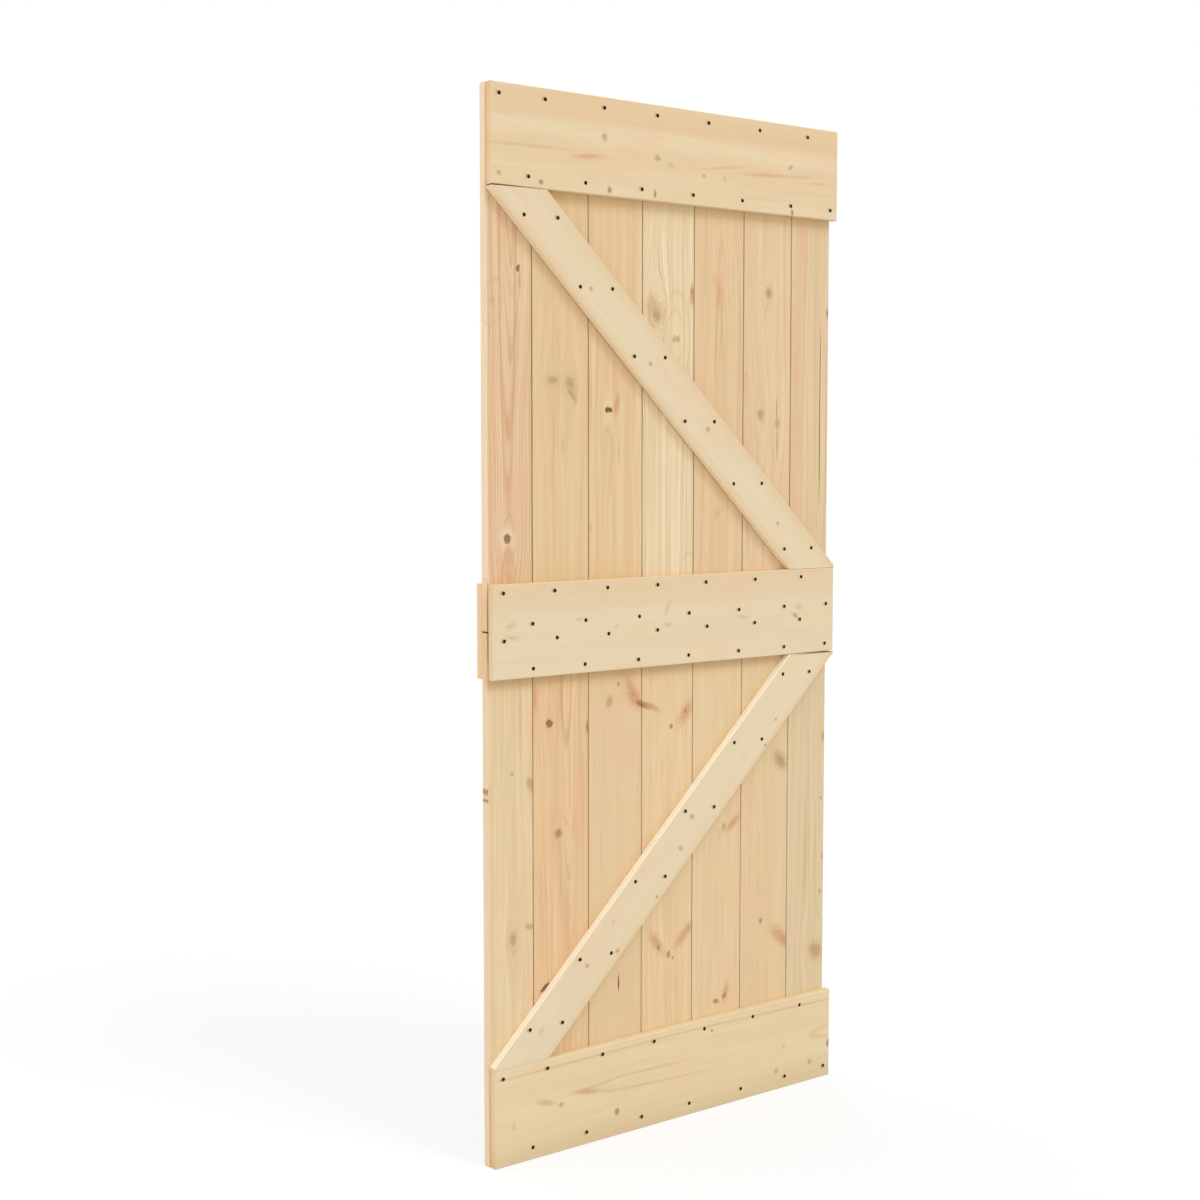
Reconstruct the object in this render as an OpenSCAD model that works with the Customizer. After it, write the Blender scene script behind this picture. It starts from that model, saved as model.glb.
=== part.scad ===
// Ledged and braced door leaf of pale pine: fourteen upright tongued boards in two tiers,
// three face rails, one rail on the back over the boards' joint, and two mitred braces
// that make the K, all held by rows of sunk nails. The face looks along -Y, +Z is up,
// and the origin is the middle of the leaf's box at its foot.

/* [Leaf] */
// Width of the leaf, over boards and rails
door_w = 900; // [700:5:1100]
// Height of the leaf
door_h = 2100; // [1800:5:2400]

/* [Boards] */
// Thickness of the upright boards
board_t = 18; // [15:0.5:25]
// Face width of the ripped board at the left edge
left_board_w = 107; // [80:0.5:130]
// Face width of the ripped board at the right edge
right_board_w = 111; // [80:0.5:130]
// How far the boards stay back from the rail ends at the right
board_inset = 5; // [0:0.5:10]
// Width of the bevel along each side of a joint
joint_bevel = 1.5; // [0.5:0.1:3]
// Open line left between two boards at the face
joint_gap = 1.3; // [0.2:0.1:2]
// Thickness of the tongue
tongue_t = 6; // [4:0.5:8]
// Length of the tongue
tongue_l = 7; // [4:0.5:10]
// Gap between the upper boards and the lower boards
butt_gap = 1.2; // [0.4:0.1:4]

/* [Rails] */
// Thickness of the rails and the braces
rail_t = 18; // [15:0.5:25]
// How far the face rails and the braces stay back from the boards' edge at the left
rail_inset = 3; // [0:0.5:6]
// Height of the top rail
top_rail_h = 191; // [150:1:220]
// Height of the middle rails, front and back
mid_rail_h = 185; // [150:1:220]
// Height of the bottom rail
bottom_rail_h = 197; // [150:1:220]
// Height of the middle rails' centre line above the foot
mid_rail_z = 1058; // [900:1:1200]
// Radius of the eased edges of rails and braces
ease_r = 2; // [1:0.25:4]

/* [Braces] */
// Width of a brace
brace_w = 95; // [70:1:120]
// Height of the blunt nose where a brace runs out at the leaf's side
brace_nose = 7; // [2:0.5:20]
// Widest gap at the upper end of a brace, at its nose
open_gap = 2.2; // [0.5:0.1:4]
// Gap at the ends of a brace that fit well
tight_gap = 0.4; // [0.1:0.1:2]

/* [Nails] */
// Diameter of a nail's head
nail_head_d = 7.6; // [3:0.1:9]
// Thickness of a nail's head
nail_head_t = 1.2; // [0.8:0.1:2]
// Diameter of a nail's shank
nail_shank_d = 2.4; // [1.6:0.1:3]
// Length of a nail's point
nail_point_l = 4; // [2:0.5:6]
// How deep a nail's head is sunk below the face
nail_set = 0.6; // [0.2:0.1:3]
// Wood left behind a nail's point
point_cover = 4; // [2:0.5:8]

/* [Nail rows] */
// Top rail, upper row, down from the rail's upper edge
top_row_drop = 21; // [15:0.5:40]
// Top rail, lower row, up from the rail's lower edge
top_row_rise = 20.5; // [15:0.5:40]
// Middle rail, first row, down from the rail's upper edge
mid_row_drop = 17; // [15:0.5:40]
// Middle rail, second row, above the joint of the boards
mid_row_above = 13; // [8:0.5:30]
// Middle rail, third row, below the joint of the boards
mid_row_below = 17.5; // [8:0.5:30]
// Middle rail, last row, up from the rail's lower edge
mid_row_rise = 17.5; // [12:0.5:40]
// Bottom rail, upper row, down from the rail's upper edge
bottom_row_drop = 19; // [15:0.5:40]
// Bottom rail, lower row, up from the rail's lower edge
bottom_row_rise = 24.5; // [15:0.5:40]
// Brace nails, in from the brace's long edge
brace_nail_inset = 20; // [12:0.5:30]
// How far the lower brace's pairs stand above the middle of the brace
lower_pair_rise = 6; // [-15:0.5:15]

/* [Hidden] */

// Smoothness of the round edges and the nails
$fn = 48;

// How far a cutting shape runs past the wood
overrun = 5;
// Room on each side of a tongue, and in front of it
tongue_side_room = 0.2;
tongue_end_room = 1;
// Room round a nail in its hole
nail_room = 0.05;

// Boards in one tier, with a ripped one at each side
boards = 7;
panel_w = door_w - board_inset;
full_board_w = (panel_w - left_board_w - right_board_w) / (boards - 2);

// Length of the rails, and the middle of the face rails and the braces; the back rail's
// middle lies as far to the other side
rail_l = door_w - rail_inset;
rail_x = rail_inset / 2;

// The three layers, from the face to the back
board_front_y = -board_t / 2;
face_y = board_front_y - rail_t;
back_rail_y = board_t / 2;

// Levels of the rails and of the two bays between them
top_rail_z = door_h - top_rail_h;
mid_rail_top = mid_rail_z + mid_rail_h / 2;
mid_rail_foot = mid_rail_z - mid_rail_h / 2;

// A nail through one rail, and one through both middle rails
short_nail_l = rail_t + board_t - nail_set - point_cover;
long_nail_l = short_nail_l + rail_t;

// Where each nail of a row stands across its board, left board first
top_drop_shares = [0.205, 0.15, 0.195, 0.175, 0.165, 0.195, 0.25];
top_rise_shares = [0.825, 0.855, 0.885, 0.865, 0.845, 0.855, 0.865];
mid_drop_shares = [0.255, 0.3, 0.255, 0.2, 0.15, 0.16, 0.17];
mid_above_shares = [0.89, 0.855, 0.85, 0.815, 0.825, 0.78, 0.845];
mid_below_shares = [0.27, 0.34, 0.275, 0.2, 0.175, 0.155, 0.145];
mid_rise_shares = [0.9, 0.84, 0.835, 0.805, 0.82, 0.78, 0.82];
bottom_drop_shares = [0.21, 0.155, 0.165, 0.15, 0.155, 0.165, 0.22];
bottom_rise_shares = [0.86, 0.865, 0.91, 0.85, 0.915, 0.865, 0.885];
// How far each pair of brace nails stands past its joint, in widths of a full board
upper_pair_shares = [0.075, 0.05, 0.04, 0.01, -0.01, 0.065];
lower_pair_shares = [0.135, 0.035, 0.07, 0.045, 0.03, 0.05];

// Left edge of board i, counted from 0, or the right edge of the last one
function joint_x(i) =
    i == 0 ? -door_w / 2 :
    i == boards ? panel_w - door_w / 2 :
    left_board_w - door_w / 2 + (i - 1) * full_board_w;

// Tilt of a brace that lies corner to corner in a bay of this height
function brace_tilt(bay_h) =
    let (rise = bay_h - 2 * brace_nose)
    atan2(rise, rail_l) + asin(brace_w / norm([rail_l, rise]));

// Places of the nails on the face, as [x, z]
function row(shares, z) =
    [for (i = [0 : boards - 1]) [joint_x(i) + shares[i] * (joint_x(i + 1) - joint_x(i)), z]];

// Pairs on a brace, one pair over each joint; side is 1 where the brace falls to the right
function brace_pairs(foot, top, shares, side, rise) =
    let (tilt = brace_tilt(top - foot), half = (brace_w / 2 - brace_nail_inset) / sin(tilt))
    [for (i = [1 : boards - 1], end = [-1, 1])
        let (x = joint_x(i) + shares[i - 1] * full_board_w)
        [x + end * half, (foot + top) / 2 + rise - side * (x - rail_x) * tan(tilt)]];

top_rail_places = concat(row(top_drop_shares, door_h - top_row_drop),
                         row(top_rise_shares, top_rail_z + top_row_rise));
mid_rail_places = concat(row(mid_drop_shares, mid_rail_top - mid_row_drop),
                         row(mid_above_shares, mid_rail_z + mid_row_above),
                         row(mid_below_shares, mid_rail_z - mid_row_below),
                         row(mid_rise_shares, mid_rail_foot + mid_row_rise));
bottom_rail_places = concat(row(bottom_drop_shares, bottom_rail_h - bottom_row_drop),
                            row(bottom_rise_shares, bottom_row_rise));
upper_brace_places = brace_pairs(mid_rail_top, top_rail_z, upper_pair_shares, 1, 0);
lower_brace_places = brace_pairs(bottom_rail_h, mid_rail_foot, lower_pair_shares, -1,
                                 lower_pair_rise);
short_nail_places = concat(top_rail_places, bottom_rail_places, upper_brace_places,
                           lower_brace_places);

// Colours of the dry timber and the nails
board_colour = "#E4C59A";
rail_colour = "#E7D1AA";
brace_colour = "#E7D2AE";
nail_colour = "#3B3026";

// One nail along +Y with the top of its head at y 0, or its hole when room and top are given
module nail(length, room = 0, top = 0) {
    head_r = nail_head_d / 2 + room;
    shank_r = nail_shank_d / 2 + room;
    rotate([-90, 0, 0])
        rotate_extrude()
            polygon([[0, -top], [head_r, -top], [head_r, nail_head_t + room],
                     [shank_r, nail_head_t + room], [shank_r, length - nail_point_l],
                     [0, length + room]]);
}

module nails(places, length) {
    color(nail_colour)
        for (p = places)
            translate([p[0], face_y + nail_set, p[1]])
                nail(length);
}

module nail_holes(places, length) {
    for (p = places)
        translate([p[0], face_y + nail_set, p[1]])
            nail(length, nail_room, nail_set + overrun);
}

// Rectangle about the origin with round corners
module round_rectangle(w, h, r) {
    square([w - 2 * r, h], center = true);
    square([w, h - 2 * r], center = true);
    for (x = [-1, 1], y = [-1, 1])
        translate([x * (w / 2 - r), y * (h / 2 - r)])
            circle(r);
}

// A planed bar along X about the origin, with its long edges eased
module planed_bar(length, h) {
    rotate([90, 0, 90])
        linear_extrude(length, center = true)
            round_rectangle(rail_t, h, ease_r);
}

// A rail with its ends eased too, its middle at x, its face at y and its lower edge at z
module rail(x, y, z, h) {
    translate([x, y + rail_t / 2, z + h / 2])
        intersection() {
            planed_bar(rail_l, h);
            linear_extrude(h, center = true)
                round_rectangle(rail_l, rail_t, ease_r);
        }
}

// Section of a board from joint to joint: a groove at its left and a tongue at its right,
// with plain eased edges at the leaf's sides
module board_section(i) {
    first = i == 0;
    last = i == boards - 1;
    left = joint_x(i) + (first ? 0 : joint_gap / 2);
    right = joint_x(i + 1) - (last ? 0 : joint_gap / 2);
    groove_half = tongue_t / 2 + tongue_side_room;
    groove_end = left + tongue_l + tongue_end_room;
    front = board_front_y;
    back = back_rail_y;
    groove = first ? [[left, back - joint_bevel], [left + joint_bevel, back]] :
        [[left, -groove_half], [groove_end, -groove_half], [groove_end, groove_half],
         [left, groove_half], [left, back]];
    tongue = last ? [[right - joint_bevel, back], [right, back - joint_bevel]] :
        [[right, back], [right, tongue_t / 2], [right + tongue_l, tongue_t / 2],
         [right + tongue_l, -tongue_t / 2], [right, -tongue_t / 2]];
    polygon(concat([[left + joint_bevel, front], [left, front + joint_bevel]], groove, tongue,
                   [[right, front + joint_bevel], [right - joint_bevel, front]]));
}

// A board from foot to top, with the holes of the nails that enter it
module board(i, foot, top) {
    low_x = joint_x(i) - nail_head_d;
    high_x = joint_x(i + 1) + tongue_l + nail_head_d;
    function enters(p) =
        p[0] > low_x && p[0] < high_x && p[1] > foot - nail_head_d && p[1] < top + nail_head_d;
    color(board_colour)
        difference() {
            translate([0, 0, foot])
                linear_extrude(top - foot)
                    board_section(i);
            nail_holes([for (p = short_nail_places) if (enters(p)) p], short_nail_l);
            nail_holes([for (p = mid_rail_places) if (enters(p)) p], long_nail_l);
        }
}

module upper_board(i) {
    board(i, mid_rail_z + butt_gap / 2, door_h);
}

module lower_board(i) {
    board(i, 0, mid_rail_z - butt_gap / 2);
}

module top_rail() {
    color(rail_colour)
        difference() {
            rail(rail_x, face_y, top_rail_z, top_rail_h);
            nail_holes(top_rail_places, short_nail_l);
        }
}

module mid_rail_front() {
    color(rail_colour)
        difference() {
            rail(rail_x, face_y, mid_rail_foot, mid_rail_h);
            nail_holes(mid_rail_places, long_nail_l);
        }
}

// The nails come through the boards and end inside this rail
module mid_rail_back() {
    color(rail_colour)
        difference() {
            rail(-rail_x, back_rail_y, mid_rail_foot, mid_rail_h);
            nail_holes(mid_rail_places, long_nail_l);
        }
}

module bottom_rail() {
    color(rail_colour)
        difference() {
            rail(rail_x, face_y, 0, bottom_rail_h);
            nail_holes(bottom_rail_places, short_nail_l);
        }
}

// A brace that falls to the right across a bay, about x 0: a planed bar laid corner to
// corner and sawn off along the rails and at their ends, with its upper cut a little off
module brace(foot, top) {
    tilt = brace_tilt(top - foot);
    cut_w = brace_w / sin(tilt);
    side = rail_l / 2;
    intersection() {
        translate([0, face_y + rail_t / 2, (foot + top) / 2])
            rotate([0, tilt, 0])
                planed_bar(2 * norm([rail_l, top - foot]), brace_w);
        translate([0, board_front_y, 0])
            rotate([90, 0, 0])
                linear_extrude(rail_t)
                    polygon([[-side, foot + tight_gap], [side, foot + tight_gap],
                             [side, top - tight_gap], [cut_w - side, top - tight_gap],
                             [-side, top - open_gap]]);
    }
}

module upper_brace() {
    color(brace_colour)
        difference() {
            translate([rail_x, 0, 0])
                brace(mid_rail_top, top_rail_z);
            nail_holes(upper_brace_places, short_nail_l);
        }
}

module lower_brace() {
    color(brace_colour)
        difference() {
            translate([rail_x, 0, 0])
                mirror([1, 0, 0])
                    brace(bottom_rail_h, mid_rail_foot);
            nail_holes(lower_brace_places, short_nail_l);
        }
}

module top_rail_nails() {
    nails(top_rail_places, short_nail_l);
}

module mid_rail_nails() {
    nails(mid_rail_places, long_nail_l);
}

module bottom_rail_nails() {
    nails(bottom_rail_places, short_nail_l);
}

module upper_brace_nails() {
    nails(upper_brace_places, short_nail_l);
}

module lower_brace_nails() {
    nails(lower_brace_places, short_nail_l);
}

upper_board(0);  // upper_board_1
upper_board(1);  // upper_board_2
upper_board(2);  // upper_board_3
upper_board(3);  // upper_board_4
upper_board(4);  // upper_board_5
upper_board(5);  // upper_board_6
upper_board(6);  // upper_board_7
lower_board(0);  // lower_board_1
lower_board(1);  // lower_board_2
lower_board(2);  // lower_board_3
lower_board(3);  // lower_board_4
lower_board(4);  // lower_board_5
lower_board(5);  // lower_board_6
lower_board(6);  // lower_board_7
top_rail();
mid_rail_front();
mid_rail_back();
bottom_rail();
upper_brace();
lower_brace();
top_rail_nails();
mid_rail_nails();
bottom_rail_nails();
upper_brace_nails();
lower_brace_nails();
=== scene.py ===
import math

import bpy
from mathutils import Matrix, Vector


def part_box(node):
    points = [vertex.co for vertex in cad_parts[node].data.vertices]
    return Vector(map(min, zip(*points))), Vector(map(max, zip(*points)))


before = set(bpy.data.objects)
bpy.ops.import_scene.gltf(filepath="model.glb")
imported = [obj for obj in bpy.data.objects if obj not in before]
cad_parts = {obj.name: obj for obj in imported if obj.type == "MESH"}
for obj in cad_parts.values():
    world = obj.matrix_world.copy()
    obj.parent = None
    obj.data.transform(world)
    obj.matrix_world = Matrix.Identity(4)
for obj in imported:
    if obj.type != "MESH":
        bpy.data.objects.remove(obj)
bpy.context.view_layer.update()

# The viewpoint: a camera at chest height in front of the leaf and to its left, so that the left
# edge is nearest. It is tipped down a little, with a small shift that centres the leaf.
camera = bpy.data.objects.new("camera", bpy.data.cameras.new("camera"))
camera.data.sensor_width = 36
camera.data.lens = 52.42
camera.data.shift_y = -0.015
camera.location = (-2.257, -2.834, 1.400)
camera.rotation_euler = (math.radians(85.824), 0, math.radians(-36.332))
bpy.context.scene.collection.objects.link(camera)
bpy.context.scene.camera = camera
bpy.context.scene.view_settings.view_transform = "Standard"

# The studio: a matt white floor under the leaf's foot and a white room around it. Both look
# white to the eye and in reflections, and the floor still takes the leaf's soft shadow.


def add(tree, kind, inputs=(), **settings):
    """Adds a node. Its inputs are numbers, colours or other nodes' outputs, by name or in order."""
    node = tree.nodes.new("ShaderNode" + kind)
    for name, value in settings.items():
        setattr(node, name, value)
    for key, value in inputs.items() if isinstance(inputs, dict) else enumerate(inputs):
        if isinstance(value, bpy.types.NodeSocket):
            tree.links.new(value, node.inputs[key])
        else:
            node.inputs[key].default_value = value
    return node


def calc(tree, operation, a, b=0.0):
    return add(tree, "Math", (a, b), operation=operation).outputs[0]


def seen_directly(tree):
    """1 on rays from the camera, from a mirror or through glass, and 0 on rays that carry light."""
    path = add(tree, "LightPath").outputs
    mirrored = calc(tree, "MAXIMUM", path["Is Glossy Ray"], path["Is Transmission Ray"])
    return calc(tree, "MAXIMUM", path["Is Camera Ray"], mirrored)


FLOOR_HALF = 12.0
FLOOR_DROP = 0.0003
FLOOR_BOUNCE = (0.66, 0.66, 0.66, 1)
FLOOR_SHADED = (0.3, 0.3, 0.3, 1)
FLOOR_GLOW = 0.68
WHITE = (1, 1, 1, 1)
floor_mesh = bpy.data.meshes.new("floor")
corner_signs = ((-1, -1), (1, -1), (1, 1), (-1, 1))
floor_corners = [(x * FLOOR_HALF, y * FLOOR_HALF, -FLOOR_DROP) for x, y in corner_signs]
floor_mesh.from_pydata(floor_corners, [], [(0, 1, 2, 3)])
floor = bpy.data.objects.new("floor", floor_mesh)
bpy.context.scene.collection.objects.link(floor)
floor_paint = bpy.data.materials.new("floor_paint")
floor_paint.use_nodes = True
tree = floor_paint.node_tree
tree.nodes.clear()
matt = add(tree, "BsdfDiffuse", {"Color": FLOOR_BOUNCE})
shaded = add(tree, "BsdfDiffuse", {"Color": FLOOR_SHADED})
glow = add(tree, "Emission", {"Color": WHITE, "Strength": FLOOR_GLOW})
white = add(tree, "AddShader", (shaded.outputs[0], glow.outputs[0]))
surface = add(tree, "MixShader", (seen_directly(tree), matt.outputs[0], white.outputs[0]))
tree.links.new(surface.outputs[0], add(tree, "OutputMaterial").inputs["Surface"])
floor_mesh.materials.append(floor_paint)

FILL = 0.656
world = bpy.data.worlds.new("room")
world.use_nodes = True
tree = world.node_tree
tree.nodes.clear()
level = add(tree, "MapRange", {"Value": seen_directly(tree), "To Min": FILL, "To Max": 1.0})
backdrop = add(tree, "Background", {"Color": WHITE, "Strength": level.outputs[0]})
tree.links.new(backdrop.outputs[0], add(tree, "OutputWorld").inputs["Surface"])
bpy.context.scene.world = world

# Three large soft lamps: one high in front of the leaf and a little to its right, which draws the
# short shadows under the rails and the upper brace, one at the left that lights the near edge, and
# one behind that lights the back.


def lamp(name, energy, spread, towards):
    """A far lamp that shines towards a direction; the spread in degrees softens its shadows."""
    light = bpy.data.objects.new(name, bpy.data.lights.new(name, "SUN"))
    light.data.energy = energy
    light.data.angle = math.radians(spread)
    light.rotation_euler = Vector(towards).to_track_quat("-Z", "Y").to_euler()
    bpy.context.scene.collection.objects.link(light)


lamp("high_lamp", energy=1.1, spread=28, towards=(-0.25, 0.62, -0.74))
lamp("side_lamp", energy=0.9, spread=60, towards=(0.88, 0.40, -0.25))
lamp("back_lamp", energy=0.9, spread=80, towards=(0.20, -0.80, -0.56))

# The upper boards: seven upright boards of planed, unfinished pine, tongued and grooved, with
# a fine V along each joint. Each is sawn from its own place in the log, so each has its own
# run of year rings, its own tint, and its own knots.


def colour(code):
    """A linear colour with alpha from a #RRGGBB code."""
    parts = [int(code[i:i + 2], 16) / 255 for i in (1, 3, 5)]
    return [p / 12.92 if p <= 0.04045 else ((p + 0.055) / 1.055) ** 2.4 for p in parts] + [1.0]


def new_group(name, inputs, outputs):
    """A shader node group, with what it is given and what it puts out."""
    tree = bpy.data.node_groups.new(name, "ShaderNodeTree")
    for side, sockets in (("INPUT", inputs), ("OUTPUT", outputs)):
        for socket, kind in sockets.items():
            tree.interface.new_socket(socket, in_out=side, socket_type="NodeSocket" + kind)
    given, out = tree.nodes.new("NodeGroupInput"), tree.nodes.new("NodeGroupOutput")
    return tree, given.outputs, out.inputs


def ramp(tree, value, start, end, low=0.0, high=1.0):
    """A smooth step from low at start to high at end, also where start is the larger."""
    inputs = {"Value": value, "From Min": start, "From Max": end, "To Min": low, "To Max": high}
    return add(tree, "MapRange", inputs, interpolation_type="SMOOTHSTEP").outputs[0]


def blend(tree, share, a, b, how="MIX"):
    return add(tree, "Mix", {0: share, 6: a, 7: b}, data_type="RGBA", blend_type=how).outputs[2]


def vector(tree, operation, a, b=(0, 0, 0)):
    return add(tree, "VectorMath", (a, b), operation=operation).outputs[0]


def scaled(tree, a, factor):
    return add(tree, "VectorMath", {0: a, "Scale": factor}, operation="SCALE").outputs[0]


def noise_along(tree, place, detail=1.0):
    """Noise along one line."""
    inputs = {"W": place, "Scale": 1.0, "Detail": detail}
    return add(tree, "TexNoise", inputs, noise_dimensions="1D")


def noise_in(tree, place, scale, detail=1.0):
    """Noise in the wood, with its own fineness across, in depth and along the grain."""
    stretched = vector(tree, "MULTIPLY", place, scale)
    return add(tree, "TexNoise", {"Vector": stretched, "Scale": 1.0, "Detail": detail}).outputs[0]


# Pine grain, in millimetres across the face, behind the face and along the grain. The year
# rings lie round a heart line that wanders and leans; bands, streaks and fibres follow them.
MIDDLE = 0.5
WANDER_PACE = 0.0022
WANDER_SHARES = (1, 0.25, 0)
LEAN_PACE = 0.001
SEED_STEP = (37.0, 91.0, 530.0)
SEED_PACE = 7.7
RIPPLE_SCALE = (0.05, 0.05, 0.005)
RIPPLE_DEPTH = 3.0
YEAR_PACE = 0.9
BAND_PACE = 0.25
STREAK_SCALE = (0.11, 0.11, 0.0024)
FIBRE_SCALE = (0.8, 0.8, 0.01)
FIBRE_SHARE = 0.22
MEAN_TONE = 0.3
LATE_WOOD = (0.35, 0.88)
YEAR_END = (1.0, 0.9)
YEAR_RANGE = (0.3, 0.7)
MOTTLE_SCALE = (0.017, 0.017, 0.006)
MOTTLE_REACH = 0.22
grain_inputs = {"Place": "Vector", "Flow": "Vector", "Heart": "Vector", "Lean": "Vector",
                "Wander": "Float", "Ring": "Float", "Lines": "Float", "Bands": "Float",
                "Streaks": "Float", "Mottle": "Float", "Seed": "Float", "Pale": "Color",
                "Deep": "Color", "Blush": "Color", "Straw": "Color"}
grain_outputs = {"Color": "Color", "Height": "Float"}
pine_grain, given, out = new_group("pine_grain", grain_inputs, grain_outputs)
tree = pine_grain
drawn = vector(tree, "ADD", given["Place"], given["Flow"])
along = add(tree, "SeparateXYZ", (given["Place"],)).outputs[2]
drift = calc(tree, "ADD", calc(tree, "MULTIPLY", along, WANDER_PACE), given["Seed"])
drift = noise_along(tree, drift).outputs["Color"]
drift = vector(tree, "SUBTRACT", drift, (MIDDLE, MIDDLE, MIDDLE))
drift = vector(tree, "MULTIPLY", drift, WANDER_SHARES)
lean = scaled(tree, given["Lean"], calc(tree, "MULTIPLY", along, LEAN_PACE))
heart = vector(tree, "ADD", given["Heart"], lean)
heart = vector(tree, "ADD", heart, scaled(tree, drift, given["Wander"]))
spread = vector(tree, "MULTIPLY", vector(tree, "SUBTRACT", drawn, heart), (1, 1, 0))
radius = add(tree, "VectorMath", (spread,), operation="LENGTH").outputs["Value"]
seed_place = scaled(tree, SEED_STEP, given["Seed"])
seeded = vector(tree, "ADD", drawn, seed_place)
ripple = calc(tree, "MULTIPLY", noise_in(tree, seeded, RIPPLE_SCALE), RIPPLE_DEPTH)
ring = calc(tree, "DIVIDE", calc(tree, "ADD", radius, ripple), given["Ring"])
seed_far = calc(tree, "MULTIPLY", given["Seed"], SEED_PACE)
year = calc(tree, "ADD", calc(tree, "MULTIPLY", ring, YEAR_PACE), seed_far)
year = noise_along(tree, year, 0).outputs[0]
part_of_year = calc(tree, "FRACT", ring)
late = ramp(tree, part_of_year, *LATE_WOOD)
late = calc(tree, "MULTIPLY", late, ramp(tree, part_of_year, *YEAR_END))
line = calc(tree, "MULTIPLY", late, ramp(tree, year, *YEAR_RANGE))
line = calc(tree, "MULTIPLY", line, given["Lines"])
band = calc(tree, "ADD", calc(tree, "MULTIPLY", ring, BAND_PACE), seed_far)
band = calc(tree, "SUBTRACT", noise_along(tree, band).outputs[0], MIDDLE)
band = calc(tree, "MULTIPLY", band, given["Bands"])
streak = calc(tree, "SUBTRACT", noise_in(tree, seeded, STREAK_SCALE), MIDDLE)
streak = calc(tree, "MULTIPLY", streak, given["Streaks"])
fibre = vector(tree, "ADD", given["Place"], seed_place)
fibre = calc(tree, "SUBTRACT", noise_in(tree, fibre, FIBRE_SCALE), MIDDLE)
fine = calc(tree, "ADD", line, calc(tree, "MULTIPLY", fibre, FIBRE_SHARE))
tone = calc(tree, "ADD", calc(tree, "ADD", band, streak), fine)
tone = add(tree, "Math", (tone, MEAN_TONE), operation="ADD", use_clamp=True).outputs[0]
mottle = noise_in(tree, seeded, MOTTLE_SCALE)
blush = ramp(tree, mottle, MIDDLE, MIDDLE + MOTTLE_REACH)
blush = calc(tree, "MULTIPLY", blush, given["Mottle"])
straw = ramp(tree, mottle, MIDDLE, MIDDLE - MOTTLE_REACH)
straw = calc(tree, "MULTIPLY", straw, given["Mottle"])
wood = blend(tree, tone, given["Pale"], given["Deep"])
wood = blend(tree, blush, wood, given["Blush"])
wood = blend(tree, straw, wood, given["Straw"])
tree.links.new(wood, out["Color"])
tree.links.new(fibre, out["Height"])

# How the grain parts to flow round a place where a branch stood, and swells there.
PARTING_CORE = 0.6
PARTING_LENGTH = 0.35
SWELL_REACH = (2.5, 1.0, 7.0)
parting_inputs = {"Place": "Vector", "Flow": "Vector", "At": "Vector", "Width": "Float",
                  "Parting": "Float", "Swell": "Float"}
grain_parting, given, out = new_group("grain_parting", parting_inputs, {"Flow": "Vector"})
tree = grain_parting
away = vector(tree, "SUBTRACT", given["Place"], given["At"])
away_x, _, away_z = add(tree, "SeparateXYZ", (away,)).outputs
core_2 = calc(tree, "POWER", calc(tree, "MULTIPLY", given["Width"], PARTING_CORE), 2.0)
along_2 = calc(tree, "POWER", calc(tree, "MULTIPLY", away_z, PARTING_LENGTH), 2.0)
apart_2 = calc(tree, "ADD", calc(tree, "POWER", away_x, 2.0), along_2)
parted = calc(tree, "DIVIDE", core_2, calc(tree, "MAXIMUM", apart_2, core_2))
shift = calc(tree, "MULTIPLY", away_x, parted)
shift = calc(tree, "MULTIPLY", shift, calc(tree, "MULTIPLY", given["Parting"], -1.0))
bulge = vector(tree, "DIVIDE", away, scaled(tree, SWELL_REACH, given["Width"]))
bulge = vector(tree, "MULTIPLY", bulge, (1, 0, 1))
bulge = add(tree, "VectorMath", (bulge, bulge), operation="DOT_PRODUCT").outputs["Value"]
bulge = calc(tree, "EXPONENT", calc(tree, "MULTIPLY", bulge, -1.0))
bulge = calc(tree, "MULTIPLY", bulge, given["Swell"])
moved = add(tree, "CombineXYZ", (shift, bulge, 0.0)).outputs[0]
tree.links.new(vector(tree, "ADD", given["Flow"], moved), out["Flow"])

# A mark laid over the grain, such as a knot, a streak of resin or a crack: an uneven oval with a
# heart, faint rings, a rim and a soft or a sharp edge. A hollow one is a year ring cut as a loop.
RING_PACE = 12.0
RING_SHARE = 0.2
RIM_START = 0.45
mark_inputs = {"Color": "Color", "Place": "Vector", "Uneven": "Float", "At": "Vector",
               "Turn": "Vector", "Size": "Vector", "Hollow": "Float", "Share": "Float",
               "Heart": "Color", "Rim": "Color", "Strength": "Float", "Blur": "Float"}
wood_mark, given, out = new_group("wood_mark", mark_inputs, {"Color": "Color"})
tree = wood_mark
to_mark = {"Vector": given["Place"], "Location": given["At"], "Rotation": given["Turn"],
           "Scale": given["Size"]}
away = add(tree, "Mapping", to_mark, vector_type="TEXTURE").outputs[0]
away = add(tree, "VectorMath", (away,), operation="LENGTH").outputs["Value"]
reach = calc(tree, "SUBTRACT", calc(tree, "MULTIPLY", away, given["Uneven"]), given["Hollow"])
reach = calc(tree, "DIVIDE", calc(tree, "ABSOLUTE", reach), given["Share"])
inner = calc(tree, "SUBTRACT", 1.0, given["Blur"])
outer = calc(tree, "ADD", 1.0, given["Blur"])
core = calc(tree, "MULTIPLY", ramp(tree, reach, outer, inner), given["Strength"])
wave = calc(tree, "SINE", calc(tree, "MULTIPLY", reach, RING_PACE))
rings = calc(tree, "MULTIPLY", calc(tree, "ADD", wave, 1.0), RING_SHARE)
rim_share = calc(tree, "MAXIMUM", rings, ramp(tree, reach, RIM_START, 1.0))
inside = blend(tree, rim_share, given["Heart"], given["Rim"])
tree.links.new(blend(tree, core, given["Color"], inside), out["Color"])

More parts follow.
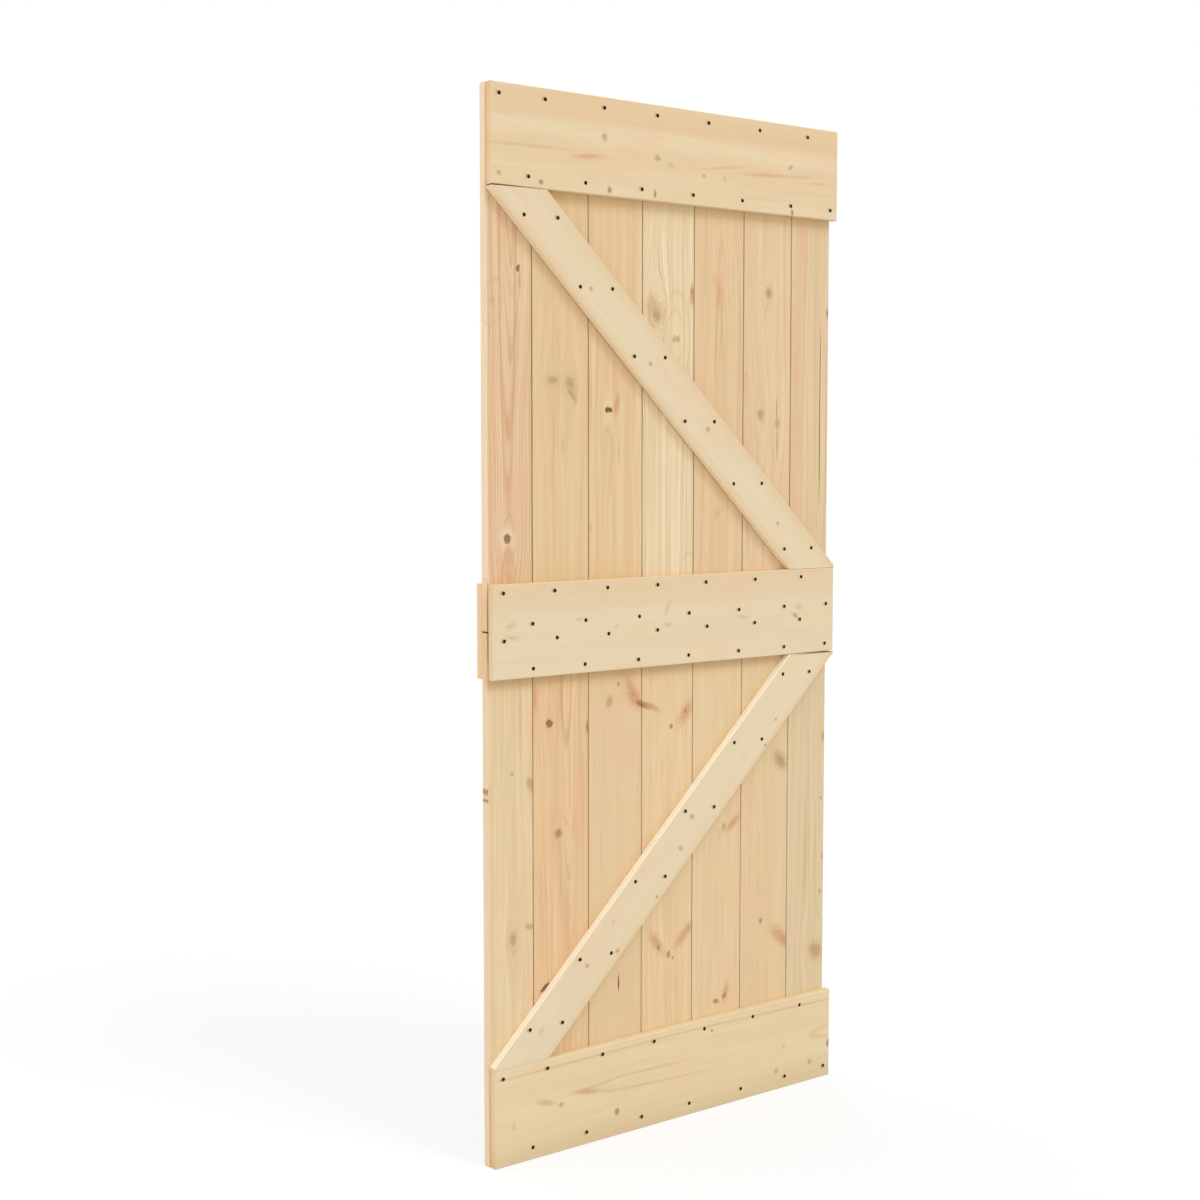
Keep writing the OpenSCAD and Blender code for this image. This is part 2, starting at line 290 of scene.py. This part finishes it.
LEAF_W = 900.0
MM = 0.001
THROUGH = 1e6
END_GRAIN = colour("#FFF4EC")
END_FACING = (0.6, 0.95)
FIBRE_RELIEF = 0.0004
FIBRE_BUMP = 0.25
FIBRE_RANGE = (-0.3, 0.5)
DULLNESS = (0.7, 0.56)
PLANED_SHEEN = 0.3

# What each kind of mark looks like: its heart and rim colours, its strength and blur, and how far
# it parts the grain and, in millimetres, swells it.
KINDS = {
    "dark": ("#5E3F1B", "#806038", 0.95, 0.35, 1.0, 4.0),
    "ringed": ("#95703F", "#694620", 0.95, 0.3, 1.0, 4.0),
    "brown": ("#A17848", "#AE8453", 0.8, 0.45, 1.0, 5.0),
    "grey": ("#B8936A", "#C2A076", 0.7, 0.55, 0.8, 3.0),
    "faint": ("#C9A97A", "#D0B284", 0.5, 0.75, 0.5, 2.0),
    "red": ("#CC976C", "#D4A57A", 0.75, 0.7, 0.3, 1.0),
    "rust": ("#A0623A", "#BC8557", 0.85, 0.5, 0.3, 1.0),
    "blush": ("#E0B189", "#E2B791", 0.4, 0.9, 0.0, 0.0),
    "tan": ("#DFB888", "#DFB888", 0.32, 0.9, 0.0, 0.0),
    "shade": ("#C9AE82", "#C9AE82", 0.35, 0.9, 0.0, 0.0),
    "flame": ("#D09F72", "#D6A87C", 0.6, 0.7, 0.0, 0.0),
    "line": ("#C39A66", "#CBA573", 0.35, 0.9, 0.0, 0.0),
    "loop": ("#C79D6C", "#C79D6C", 0.2, 1.0, 0.0, 0.0),
    "red_loop": ("#CD9868", "#CD9868", 0.42, 1.0, 0.0, 0.0),
    "deep_loop": ("#BE8C5A", "#BE8C5A", 0.4, 0.9, 0.0, 0.0),
    "crack": ("#7A4A1C", "#8B5C2B", 0.95, 0.45, 0.0, 0.0),
    "butt": ("#4E2F10", "#63411C", 0.95, 0.45, 0.0, 0.0),
    # Painted shadow in narrow gaps between parts.
    "gap_shadow": ("#6F4520", "#7F5730", 0.6, 0.5, 0.0, 0.0),
    # Painted shade in the joints between boards, behind each V.
    "joint": ("#8F6E45", "#A08058", 0.5, 0.6, 0.0, 0.0),
    "close_joint_shade": ("#8F6E45", "#A08058", 0.25, 0.6, 0.0, 0.0),
    # A painted contact shadow where a part stands proud of the boards.
    "contact_shadow": ("#805223", "#936432", 0.24, 0.8, 0.0, 0.0),
    # Soft painted shade where boards meet a part laid over them.
    "soft_contact_shade": ("#B99468", "#B99468", 0.2, 0.9, 0.0, 0.0),
    # A warm painted shadow on the boards just under a rail.
    "warm_rail_shadow": ("#E4BA78", "#E4BA78", 0.3, 0.9, 0.0, 0.0),
    # A painted highlight on the lit left edge of the upper left board.
    "pale": ("#F1DDBE", "#EFD9B8", 0.7, 0.5, 0.0, 0.0),
    # Pale wood round a knot, and a painted highlight on the lit left edge of the lower left board.
    "light": ("#F1DDBE", "#F1DDBE", 0.4, 0.5, 0.0, 0.0),
    # A painted highlight on a side face that is turned towards the light.
    "lit_side_highlight": ("#F6EAD0", "#F6EAD0", 1.0, 0.5, 0.0, 0.0),
    # Painted light on a side face that is turned away from the lamps.
    "side_painted_light": ("#F3DEBA", "#F3DEBA", 1.0, 0.5, 0.0, 0.0),
    "orange": ("#E3B680", "#E3B680", 0.7, 0.4, 0.0, 0.0),
}
SHALLOW = ("contact_shadow", "soft_contact_shade", "warm_rail_shadow", "crack", "gap_shadow", "line", "loop")
SHALLOW_DEPTH = 8.0
STEADY = ("tan", "shade", "crack", "butt", "gap_shadow", "joint", "close_joint_shade", "contact_shadow",
          "soft_contact_shade", "warm_rail_shadow", "pale", "light", "lit_side_highlight", "side_painted_light", "orange")
LOOP_LINE = 3.6
LUMP_SCALE = (0.21, 0.21, 0.21)
LUMP_RANGE = (0.2, 0.8)
RAGGED = (0.75, 1.3)
WAVERING = (0.96, 1.05)


def pine(name, lie, look, marks):
    """Gives a piece its own pine. lie is the grain's direction on the face in degrees, 0 along the
    rails and 90 upright; marks are (kind, mm from the leaf's left edge, mm above its foot, width
    across the grain, length along it, degrees turned clockwise on the face)."""
    low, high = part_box(name)
    origin = Vector(((low.x + high.x) / 2, low.y, (low.z + high.z) / 2)) / MM
    turn = Matrix.Rotation(math.radians(lie - 90), 3, "Y")
    material = bpy.data.materials.new("pine_" + name)
    material.use_nodes = True
    tree = material.node_tree
    shader = tree.nodes["Principled BSDF"]
    coordinates = add(tree, "TexCoord").outputs
    to_wood = {"Vector": coordinates["Object"], "Location": -(turn @ origin), "Scale": [1 / MM] * 3,
               "Rotation": turn.to_euler()}
    place = add(tree, "Mapping", to_wood).outputs[0]
    lumps = noise_in(tree, place, LUMP_SCALE)
    ragged = ramp(tree, lumps, *LUMP_RANGE, *RAGGED)
    wavering = ramp(tree, lumps, *LUMP_RANGE, *WAVERING)
    flow, laid = (0, 0, 0), []
    for kind, side, height, width, length, angle in marks:
        heart, rim, strength, blur, parting, swell = KINDS[kind]
        at = turn @ (Vector((side - LEAF_W / 2, origin.y, height)) - origin)
        hollow = kind.endswith("loop")
        outline = 1.0 if kind in STEADY else wavering if hollow else ragged
        depth = SHALLOW_DEPTH if kind in SHALLOW else THROUGH
        laid.append({"Place": place, "Uneven": outline, "At": at,
                     "Turn": (0, math.radians(angle), 0), "Size": (width / 2, depth, length / 2),
                     "Hollow": float(hollow), "Share": LOOP_LINE / width if hollow else 1.0,
                     "Heart": colour(heart), "Rim": colour(rim), "Strength": strength,
                     "Blur": blur})
        if parting:
            branch = {"Place": place, "Flow": flow, "At": at, "Width": width,
                      "Parting": parting, "Swell": swell}
            flow = add(tree, "Group", branch, node_tree=grain_parting).outputs["Flow"]
    tints = {key: colour(value) for key, value in look.items() if isinstance(value, str)}
    grain = {"Place": place, "Flow": flow, **look, **tints}
    grain = add(tree, "Group", grain, node_tree=pine_grain)
    wood = grain.outputs["Color"]
    for mark in laid:
        wood = add(tree, "Group", {"Color": wood, **mark}, node_tree=wood_mark).outputs["Color"]
    facing = {"Vector": coordinates["Normal"], "Rotation": turn.to_euler()}
    facing = add(tree, "Mapping", facing).outputs[0]
    facing = add(tree, "SeparateXYZ", (facing,)).outputs[2]
    sawn_end = ramp(tree, calc(tree, "ABSOLUTE", facing), *END_FACING)
    wood = blend(tree, sawn_end, wood, END_GRAIN, "MULTIPLY")
    tree.links.new(wood, shader.inputs["Base Color"])
    fibre = grain.outputs["Height"]
    bump = add(tree, "Bump", {"Height": fibre, "Strength": FIBRE_BUMP, "Distance": FIBRE_RELIEF})
    tree.links.new(bump.outputs[0], shader.inputs["Normal"])
    dullness = ramp(tree, fibre, *FIBRE_RANGE, *DULLNESS)
    tree.links.new(dullness, shader.inputs["Roughness"])
    shader.inputs["Specular IOR Level"].default_value = PLANED_SHEEN
    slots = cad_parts[name].data.materials
    slots.clear()
    slots.append(material)


# How the boards look unless one differs: where the log's heart lies, in millimetres from the
# middle of the face, how it leans and wanders, the width of a year, and the tints.
plain = {"Heart": (0, 60, 0), "Lean": (8, 6, 0), "Wander": 30, "Ring": 4.0, "Lines": 0.3,
         "Bands": 0.5, "Streaks": 0.7, "Mottle": 0.4, "Pale": "#EDD5AE", "Deep": "#D3AA79",
         "Blush": "#E8BE96", "Straw": "#E0C797"}

upper_looks = [
    {"Heart": (-3, 30, 0), "Lean": (2, -30, 0), "Lines": 0.6, "Bands": 0.5, "Pale": "#ECD0AB",
     "Deep": "#CE9E70", "Blush": "#E4B68F"},
    {"Heart": (-60, 60, 0), "Lines": 0.15, "Streaks": 0.6, "Pale": "#E7CDA0", "Deep": "#D0A875"},
    {"Heart": (80, 50, 0), "Lines": 0.15, "Streaks": 0.6, "Pale": "#EAD0A4", "Deep": "#CFA574"},
    {"Heart": (-170, 30, 0), "Lines": 0.8, "Ring": 4.6, "Pale": "#F2E0BC", "Deep": "#D3B483",
     "Mottle": 0.2},
    {"Heart": (3, 25, 0), "Lean": (2, 18, 0), "Lines": 0.3, "Bands": 0.45, "Streaks": 0.5,
     "Pale": "#EAD1A8", "Deep": "#D0A472"},
    {"Heart": (-70, 70, 0), "Lines": 0.25, "Streaks": 0.6, "Pale": "#EAD2AB", "Deep": "#D1A97C"},
    {"Heart": (-90, 40, 0), "Lines": 0.3, "Bands": 0.7, "Pale": "#E8D1AA", "Deep": "#CAA278"},
]
upper_marks = [
    # Along the left edge, a painted highlight.
    # Beside the middle rail's end, a painted gap shadow.
    [("pale", 0, 1500, 9, 4000, 0), ("orange", 0, 1058, 9, 186, 0), ("gap_shadow", 2.5, 1058, 3, 186, 0),
     ("butt", 0, 1058, 60, 3.5, 0), ("blush", 40, 1840, 34, 130, 0),
     ("blush", 76, 1320, 14, 280, 0), ("line", 72, 1812, 4, 90, 0), ("line", 74, 1625, 4, 150, 0),
     ("ringed", 75, 1757, 9, 14, 0), ("red", 78, 1732, 6, 40, 0), ("faint", 14, 1692, 13, 17, 0),
     ("loop", 16, 1690, 44, 90, 12), ("red_loop", 50, 1842, 40, 800, 0),
     ("red_loop", 50, 1745, 34, 840, 0), ("flame", 49, 1458, 8, 40, 0),
     ("flame", 50, 1343, 8, 46, 0), ("light", 48, 1238, 34, 46, 0), ("ringed", 48, 1237, 15, 18, 0),
     ("brown", 48, 1237, 6, 7, 0), ("flame", 51, 1180, 19, 80, 0),
     ("red_loop", 51, 1080, 40, 270, 0)],
    [("faint", 155, 1545, 36, 26, 0), ("grey", 157, 1545, 22, 15, 0),
     ("faint", 200, 1533, 36, 54, -30), ("grey", 198, 1541, 19, 25, -35),
     ("grey", 203, 1516, 11, 34, -40), ("line", 158, 1420, 5, 120, 0),
     ("faint", 180, 1418, 10, 40, 0), ("tan", 180, 1160, 140, 60, 0)],
    [("blush", 315, 1560, 50, 110, 0), ("faint", 247, 1510, 9, 140, 0),
     ("faint", 246, 1255, 8, 14, 0), ("red", 312, 1500, 14, 46, 10),
     ("faint", 289, 1450, 15, 24, 0), ("line", 299, 1425, 6, 44, -8),
     ("line", 295, 1360, 6, 130, 3), ("line", 318, 1405, 6, 44, 0),
     ("dark", 288.5, 1489, 11, 12, 0), ("dark", 296, 1489, 11, 10, 0),
     ("tan", 310, 1160, 140, 60, 0)],
    [("faint", 412, 1692, 42, 62, -28), ("faint", 411, 1690, 34, 50, -32),
     ("grey", 414, 1682, 18, 26, -32), ("loop", 463, 1640, 44, 114, 0),
     ("loop", 466, 1640, 72, 190, 0), ("grey", 460, 1636, 11, 15, 0),
     ("grey", 470, 1637, 10, 14, 0), ("brown", 507, 1736, 8, 16, 0), ("red", 507, 1722, 12, 32, 0),
     ("loop", 500, 1120, 50, 150, 0)],
    [("blush", 579, 1745, 28, 76, 0), ("blush", 569, 1761, 15, 54, -20),
     ("blush", 591, 1761, 15, 54, 20), ("flame", 580, 1733, 11, 60, 0),
     ("line", 573, 1640, 7, 210, 2), ("line", 590, 1640, 7, 210, -2),
     ("blush", 566, 1230, 16, 130, 0), ("faint", 577, 1275, 16, 18, 0)],
    [("faint", 719, 1745, 24, 28, 0), ("grey", 718, 1744, 17, 22, 0),
     ("grey", 718, 1744, 12, 14, 0), ("faint", 698, 1485, 24, 28, 0),
     ("grey", 697, 1485, 17, 22, 0), ("red", 746, 1466, 15, 20, 0), ("line", 713, 1711, 6, 40, 22),
     ("crack", 744, 1496, 1.6, 52, 0), ("crack", 745.5, 1426, 1.8, 76, 0),
     ("line", 732, 1420, 5, 150, 0)],
    [("blush", 803, 1480, 34, 900, 0), ("blush", 817, 1866, 24, 120, 0),
     ("blush", 819, 1862, 14, 90, 0), ("blush", 820, 1760, 15, 110, 0),
     ("crack", 871, 1590, 2.2, 170, 0), ("crack", 870.6, 1490, 2.4, 180, 0),
     ("crack", 871, 1390, 2.4, 180, 0), ("brown", 892, 1709, 8, 17, 0)],
]

JOINT_GAP = 1.3
JOINT_LINE = 2.8
BRACE_W = 95.0
BRACE_NOSE = 7.0
CONTACT_SHADOW_LINE = 8.0


def brace_tilt(name):
    """The brace's slope in degrees, from its box, its width and the blunt noses at its two tips."""
    low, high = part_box(name)
    span, rise = (high.x - low.x) / MM, (high.z - low.z) / MM - 2 * BRACE_NOSE
    return math.degrees(math.atan2(rise, span) + math.asin(BRACE_W / math.hypot(span, rise)))


def brace_side(name, across, up):
    """The middle of one of the brace's long edges, at the signs' side of its axis."""
    low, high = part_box(name)
    slope = math.radians(brace_tilt(name))
    middle = (low + high) / 2 / MM
    return (middle.x + LEAF_W / 2 + across * BRACE_W / 2 * math.sin(slope),
            middle.z + up * BRACE_W / 2 * math.cos(slope))


def tier(name, looks, marks, seed, step, joint, shared):
    """A row of boards. Where two meet, shade is painted on the shoulders behind the V, darker than
    the face.
    """
    lefts = [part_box(f"{name}_{i}")[0].x / MM for i in range(1, len(looks) + 1)]
    edges = [left + LEAF_W / 2 - JOINT_GAP / 2 for left in lefts]
    for i, (look, own) in enumerate(zip(looks, marks), 1):
        joints = [(joint, side, 0, JOINT_LINE, THROUGH, 0) for side in edges[max(1, i - 1):i + 1]]
        pine(f"{name}_{i}", 90, {**plain, "Seed": seed + i * step, **look}, own + joints + shared)


BRACE_RUN = 1140
RAIL_SHADE = 50
# A painted shadow on the upper boards along the upper brace's lower-left edge.
shadow_under_brace = ("contact_shadow", *brace_side("upper_brace", -1, -1), CONTACT_SHADOW_LINE, BRACE_RUN,
               brace_tilt("upper_brace") - 90)
# A warm painted shadow on the upper boards under the top rail.
shadow_under_top = ("warm_rail_shadow", LEAF_W / 2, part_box("top_rail")[0].z / MM, THROUGH, RAIL_SHADE, 0)
tier("upper_board", upper_looks, upper_marks, seed=0, step=1.3, joint="joint",
     shared=[shadow_under_brace, shadow_under_top])

# The lower boards: seven more of the same pine, tongued and grooved alike and butted under the
# upper ones behind the middle rail. Their joints are closer, and resin streaks cross some of them.
lower_looks = [
    {"Heart": (60, 40, 0), "Lines": 0.3, "Pale": "#EDD6B0", "Deep": "#D1AF7C"},
    {"Heart": (14, 30, 0), "Lean": (0, -25, 0), "Lines": 0.4, "Bands": 0.6, "Pale": "#EDCDA1",
     "Deep": "#CE9D6C"},
    {"Heart": (0, 140, 0), "Lines": 0.08, "Bands": 0.2, "Streaks": 0.35, "Pale": "#E7CEA4",
     "Deep": "#D3AB7B"},
    {"Heart": (-30, 90, 0), "Lines": 0.15, "Streaks": 0.55, "Pale": "#EED4AA", "Deep": "#D4A979"},
    {"Heart": (20, 140, 0), "Lines": 0.08, "Bands": 0.25, "Streaks": 0.45, "Pale": "#EBD4AA",
     "Deep": "#D3AB7B"},
    {"Heart": (-30, 130, 0), "Lines": 0.08, "Bands": 0.25, "Streaks": 0.45, "Pale": "#E8D1A6",
     "Deep": "#D0AA7A"},
    {"Heart": (90, 40, 0), "Lines": 0.18, "Bands": 0.3, "Ring": 5.0, "Pale": "#E6D2AB",
     "Deep": "#C9AE82", "Blush": "#DFC29D"},
]
lower_marks = [
    # Along the left edge, a painted highlight.
    # Beside the middle rail's end, a painted gap shadow.
    [("light", 0, 600, 9, 4000, 0), ("orange", 0, 1058, 9, 186, 0), ("gap_shadow", 2.5, 1058, 3, 186, 0),
     ("butt", 0, 1058, 60, 3.5, 0), ("blush", 0, 738, 8, 26, 0), ("brown", 0, 747, 4, 11, 0),
     ("brown", 0, 729, 4, 6, 0), ("grey", 57, 776, 8, 9, 0), ("grey", 101, 751, 16, 30, -25),
     ("faint", 58, 446, 22, 44, 0), ("grey", 58, 448, 13, 26, 0), ("grey", 97, 467, 13, 20, -70),
     ("faint", 60, 420, 12, 10, -60), ("line", 76, 880, 10, 180, 0)],
    [("ringed", 146, 868, 16, 16, 0), ("brown", 167, 645, 17, 20, 10),
     ("line", 169, 622, 6, 36, -10), ("line", 172, 555, 6, 120, 0), ("line", 203, 656, 6, 50, 12),
     ("line", 186, 668, 5, 34, -35), ("deep_loop", 187, 933, 22, 200, 0),
     ("line", 174, 925, 8, 110, 0), ("line", 196, 740, 6, 140, 0), ("red", 112, 925, 8, 64, 0),
     ("brown", 240, 853, 9, 22, 0), ("dark", 134, 337, 9, 28, 50)],
    [("grey", 294, 899, 16, 27, 15), ("brown", 317, 933, 7, 9, 0), ("crack", 318, 313, 4, 34, 0),
     ("blush", 354, 912, 44, 90, -34), ("red", 350, 922, 20, 66, -28),
     ("red", 359, 901, 30, 56, -42), ("rust", 373, 889, 12, 24, -60)],
    [("rust", 386, 884, 14, 36, -75), ("brown", 381, 886, 7, 20, -65),
     ("red", 406, 878, 13, 44, -65), ("blush", 492, 861, 40, 70, 35), ("red", 494, 860, 25, 54, 35),
     ("rust", 493, 863, 5, 11, 0), ("brown", 455, 834, 10, 12, 0), ("red", 417, 380, 21, 62, -35),
     ("rust", 422, 370, 6, 11, 0), ("red", 489, 384, 22, 62, 45), ("red", 505, 398, 12, 20, 0),
     ("brown", 449, 350, 10, 15, 0), ("rust", 461, 341, 5, 7, 0)],
    [("grey", 600, 603, 11, 19, 15), ("red", 627, 609, 17, 54, 50), ("line", 589, 588, 5, 28, 0),
     ("brown", 580, 225, 11, 18, -75), ("red", 608, 241, 14, 42, 12),
     ("brown", 603, 233, 9, 15, 25)],
    [("faint", 759, 734, 34, 56, -40), ("grey", 761, 731, 25, 46, -40),
     ("grey", 764, 728, 12, 26, -40), ("brown", 707, 381, 9, 13, 0), ("red", 764, 338, 29, 70, -48),
     ("red", 775, 328, 20, 40, -40)],
    [("line", 838, 500, 12, 220, 0), ("line", 850, 520, 6, 280, 0), ("line", 868, 480, 5, 200, 0),
     ("faint", 870, 288, 46, 56, -40), ("grey", 872, 287, 32, 40, -45),
     ("grey", 868, 291, 8, 10, 0), ("grey", 889, 772, 9, 26, 0), ("grey", 884, 633, 7, 9, 0),
     ("grey", 884, 420, 9, 11, 0), ("grey", 891, 500, 8, 15, 0)],
]
SOFT_SHADE_LINE = 28
RAIL_CONTACT_SHADE = 30
# Painted shade on the lower boards along the lower brace's upper-left edge.
shade_above_brace = ("soft_contact_shade", *brace_side("lower_brace", -1, 1), SOFT_SHADE_LINE, BRACE_RUN,
               90 - brace_tilt("lower_brace"))
mid_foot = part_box("mid_rail_front")[0].z / MM
# Under the middle rail, a warm painted shadow and painted shade on the lower boards.
shade_under_mid = [("warm_rail_shadow", LEAF_W / 2, mid_foot, THROUGH, RAIL_SHADE, 0),
             ("soft_contact_shade", LEAF_W / 2, mid_foot, THROUGH, RAIL_CONTACT_SHADE, 0)]
tier("lower_board", lower_looks, lower_marks, seed=20, step=1.7, joint="close_joint_shade",
     shared=[shade_above_brace, *shade_under_mid])

# The rails: four flat boards of paler pine with eased edges, laid across the uprights and nailed
# through, three on the face and one on the back over the boards' butt joint. Round each nail the
# wood is darkened in a narrow ring.
rail = {**plain, "Heart": (0, 140, 0), "Lean": (4, 6, 0), "Lines": 0.12, "Bands": 0.3,
        "Streaks": 0.4, "Pale": "#EBD8B4", "Deep": "#D9B887", "Blush": "#EAC9A3",
        "Straw": "#E4D0A4"}
NAIL_HEAD_W = 7.6
NAIL_RING_REACH = 5.4
NAIL_RING_SHARE = 0.34
NAIL_RING_COLOUR = colour("#52361A")


def nail_heads(name):
    """The middle of the face of each nail in a group, found in the group's own mesh."""
    heads = []
    for corner in (vertex.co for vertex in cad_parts[name].data.vertices):
        near = [head for head in heads if (corner - head[0]).xz.length < NAIL_HEAD_W * MM]
        if near:
            near[0].append(corner)
        else:
            heads.append([corner])
    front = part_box(name)[0].y
    spans = [([corner.x for corner in head], [corner.z for corner in head]) for head in heads]
    return [Vector(((min(xs) + max(xs)) / 2, front, (min(zs) + max(zs)) / 2)) for xs, zs in spans]


def darken_round_nails(name, nails):
    """Darkens the wood in a narrow ring round each nail that was driven into a piece."""
    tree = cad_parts[name].data.materials[0].node_tree
    base = tree.nodes["Principled BSDF"].inputs["Base Color"]
    place = add(tree, "TexCoord").outputs["Object"]
    nearest = THROUGH
    for head in nail_heads(nails):
        apart = add(tree, "VectorMath", (place, head), operation="DISTANCE").outputs["Value"]
        nearest = calc(tree, "MINIMUM", apart, nearest)
    share = ramp(tree, nearest, NAIL_RING_REACH * MM, NAIL_HEAD_W / 2 * MM, 0.0, NAIL_RING_SHARE)
    tree.links.new(blend(tree, share, base.links[0].from_socket, NAIL_RING_COLOUR), base)


top_marks = [("tan", 450, 2085, 66, 3000, 0), ("tan", 450, 2056, 18, 3000, -0.4),
             ("tan", 450, 1986, 44, 3000, 0), ("line", 90, 1988, 6, 200, -1),
             ("blush", 232, 1982, 15, 90, -5), ("flame", 228, 1981, 9, 70, -5),
             ("line", 575, 1992, 6, 120, -8), ("flame", 702, 1988, 7, 140, -3),
             ("blush", 690, 1989, 15, 70, -3), ("line", 800, 1993, 6, 70, -5),
             # Under the top rail's edge at the left, a painted gap shadow.
             ("line", 840, 1983, 5, 70, -4), ("gap_shadow", 20, 1908, 4, 130, 0),
             ("grey", 21, 1931, 9, 10, 0), ("brown", 117, 1922, 10, 10, 0),
             ("brown", 281, 1921, 14, 10, 0), ("brown", 395, 1923, 15, 7, 0),
             ("grey", 269, 2023, 16, 13, 0), ("grey", 401, 1995, 12, 16, 0),
             ("faint", 436, 1985, 10, 20, 0), ("grey", 523, 1971, 9, 9, 0),
             ("faint", 578, 1970, 10, 9, 0), ("grey", 762, 2010, 9, 14, -30),
             ("brown", 768, 1916, 14, 8, 0)]
pine("top_rail", 0, {**rail, "Seed": 41.0}, top_marks)
darken_round_nails("top_rail", "top_rail_nails")
mid_marks = [("tan", 450, 1138, 66, 3000, 0), ("faint", 45, 1070, 11, 24, -20),
             ("faint", 48, 1046, 9, 30, 5), ("faint", 207, 1074, 7, 16, -15),
             ("faint", 298, 1055, 6, 8, 0), ("faint", 430, 1086, 10, 32, -60),
             ("faint", 430, 1050, 10, 20, 10), ("faint", 636, 1055, 8, 28, 15),
             ("faint", 797, 1068, 14, 20, 0), ("grey", 786, 1050, 10, 18, 30)]
mid_look = {"Seed": 45.5, "Pale": "#E9D8B8", "Deep": "#D8BF95", "Lines": 0.06, "Bands": 0.2,
            "Streaks": 0.3}
pine("mid_rail_front", 0, {**rail, **mid_look}, mid_marks)
darken_round_nails("mid_rail_front", "mid_rail_nails")
back_marks = [("brown", 320, 1080, 12, 14, 0), ("grey", 610, 1015, 10, 12, 0)]
pine("mid_rail_back", 0, {**rail, "Seed": 52.0}, back_marks)
bottom_marks = [("shade", 450, 4, 60, 3000, 0), ("line", 150, 177.5, 5, 360, -0.7),
                ("line", 420, 181, 5, 280, -0.5), ("line", 650, 179.5, 5, 300, 1),
                ("line", 840, 176, 5, 200, 1.5), ("flame", 124, 108, 12, 46, 13),
                ("blush", 222, 111, 20, 64, 8), ("flame", 222, 110, 11, 50, 8),
                ("line", 262, 118, 6, 110, -4), ("line", 390, 121.5, 6, 190, 1),
                ("line", 258, 103, 6, 90, 9), ("line", 345, 94, 6, 140, 2.5),
                ("line", 460, 89, 5, 150, 2), ("loop", 908, 102, 28, 130, 2),
                ("loop", 912, 102, 20, 120, 2), ("grey", 161, 96, 10, 11, 0),
                ("faint", 47, 76, 15, 8, 0), ("brown", 301, 50, 15, 12, 0),
                ("brown", 555, 170, 6, 7, 0), ("faint", 762, 95, 13, 9, 0),
                ("grey", 740, 42, 10, 11, 0), ("grey", 840, 42, 13, 11, 0),
                ("brown", 896, 73, 18, 9, 0)]
bottom_look = {"Seed": 58.0, "Pale": "#EBD9B3", "Deep": "#D5B887"}
pine("bottom_rail", 0, {**rail, **bottom_look}, bottom_marks)
darken_round_nails("bottom_rail", "bottom_rail_nails")

# The braces: two planed pine bars laid corner to corner in the two bays, so that they make a K.
# They are sawn off along the rails, and a pair of nails at each joint holds them to the boards.
brace = {**rail, "Lines": 0.08, "Bands": 0.2, "Streaks": 0.3, "Pale": "#E9D9B9",
         "Deep": "#DAC098"}
upper_brace_marks = [("tan", *brace_side("upper_brace", 1, 1), 36, THROUGH, 0),
                     ("tan", *brace_side("upper_brace", -1, -1), 24, THROUGH, 0),
                     # Painted light on the upper brace's shaded lower-left side face.
                     ("side_painted_light", *brace_side("upper_brace", -1, -1), 2, THROUGH, 0),
                     ("grey", 236, 1725, 9, 9, 0), ("grey", 384, 1583, 10, 11, 0),
                     ("grey", 536, 1452, 11, 12, 0), ("grey", 733, 1251, 7, 9, 0)]
upper_lie, lower_lie = -brace_tilt("upper_brace"), brace_tilt("lower_brace")
pine("upper_brace", upper_lie, {**brace, "Seed": 63.0}, upper_brace_marks)
darken_round_nails("upper_brace", "upper_brace_nails")
lower_brace_marks = [("tan", *brace_side("lower_brace", 1, -1), 20, THROUGH, 0),
                     # A painted highlight on the lower brace's upper-left side face.
                     ("lit_side_highlight", *brace_side("lower_brace", -1, 1), 2, THROUGH, 0),
                     ("grey", 731, 826, 7, 8, 0),
                     # Between the lower brace's tip and the middle rail, a painted gap shadow.
                     ("gap_shadow", 880, 963, 3.4, 150, brace_tilt("lower_brace")),
                     ("grey", 702, 772, 7, 8, 0), ("grey", 497, 641, 12, 12, 0),
                     ("grey", 467, 578, 12, 11, 0), ("grey", 404, 484, 8, 8, 0),
                     ("faint", 291, 448, 9, 7, 0), ("grey", 302, 387, 9, 12, 0),
                     ("grey", 225, 369, 10, 10, 0), ("faint", 113, 257, 10, 14, 0)]
pine("lower_brace", lower_lie, {**brace, "Seed": 68.0}, lower_brace_marks)
darken_round_nails("lower_brace", "lower_brace_nails")

# The nails: eighty round-headed steel nails with a dark, dull skin, driven in until their heads
# lie just below the face. They hold the rails and the braces to the boards.
PITTING_SCALE = (900, 900, 900)
PITTING_DETAIL = 3
SKIN_RANGE = (0.35, 0.7)
PITTING_RANGE = (0.3, 0.7)
NAIL_DULLNESS = (0.7, 0.9)
steel = bpy.data.materials.new("dark_nail_steel")
steel.use_nodes = True
tree = steel.node_tree
shader = tree.nodes["Principled BSDF"]
place = add(tree, "TexCoord").outputs["Object"]
pitting = noise_in(tree, place, PITTING_SCALE, PITTING_DETAIL)
skin = blend(tree, ramp(tree, pitting, *SKIN_RANGE), colour("#352107"), colour("#432B0B"))
tree.links.new(skin, shader.inputs["Base Color"])
dullness = ramp(tree, pitting, *PITTING_RANGE, *NAIL_DULLNESS)
tree.links.new(dullness, shader.inputs["Roughness"])
shader.inputs["Specular IOR Level"].default_value = 0.0
for name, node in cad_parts.items():
    if name.endswith("_nails"):
        node.data.materials.clear()
        node.data.materials.append(steel)
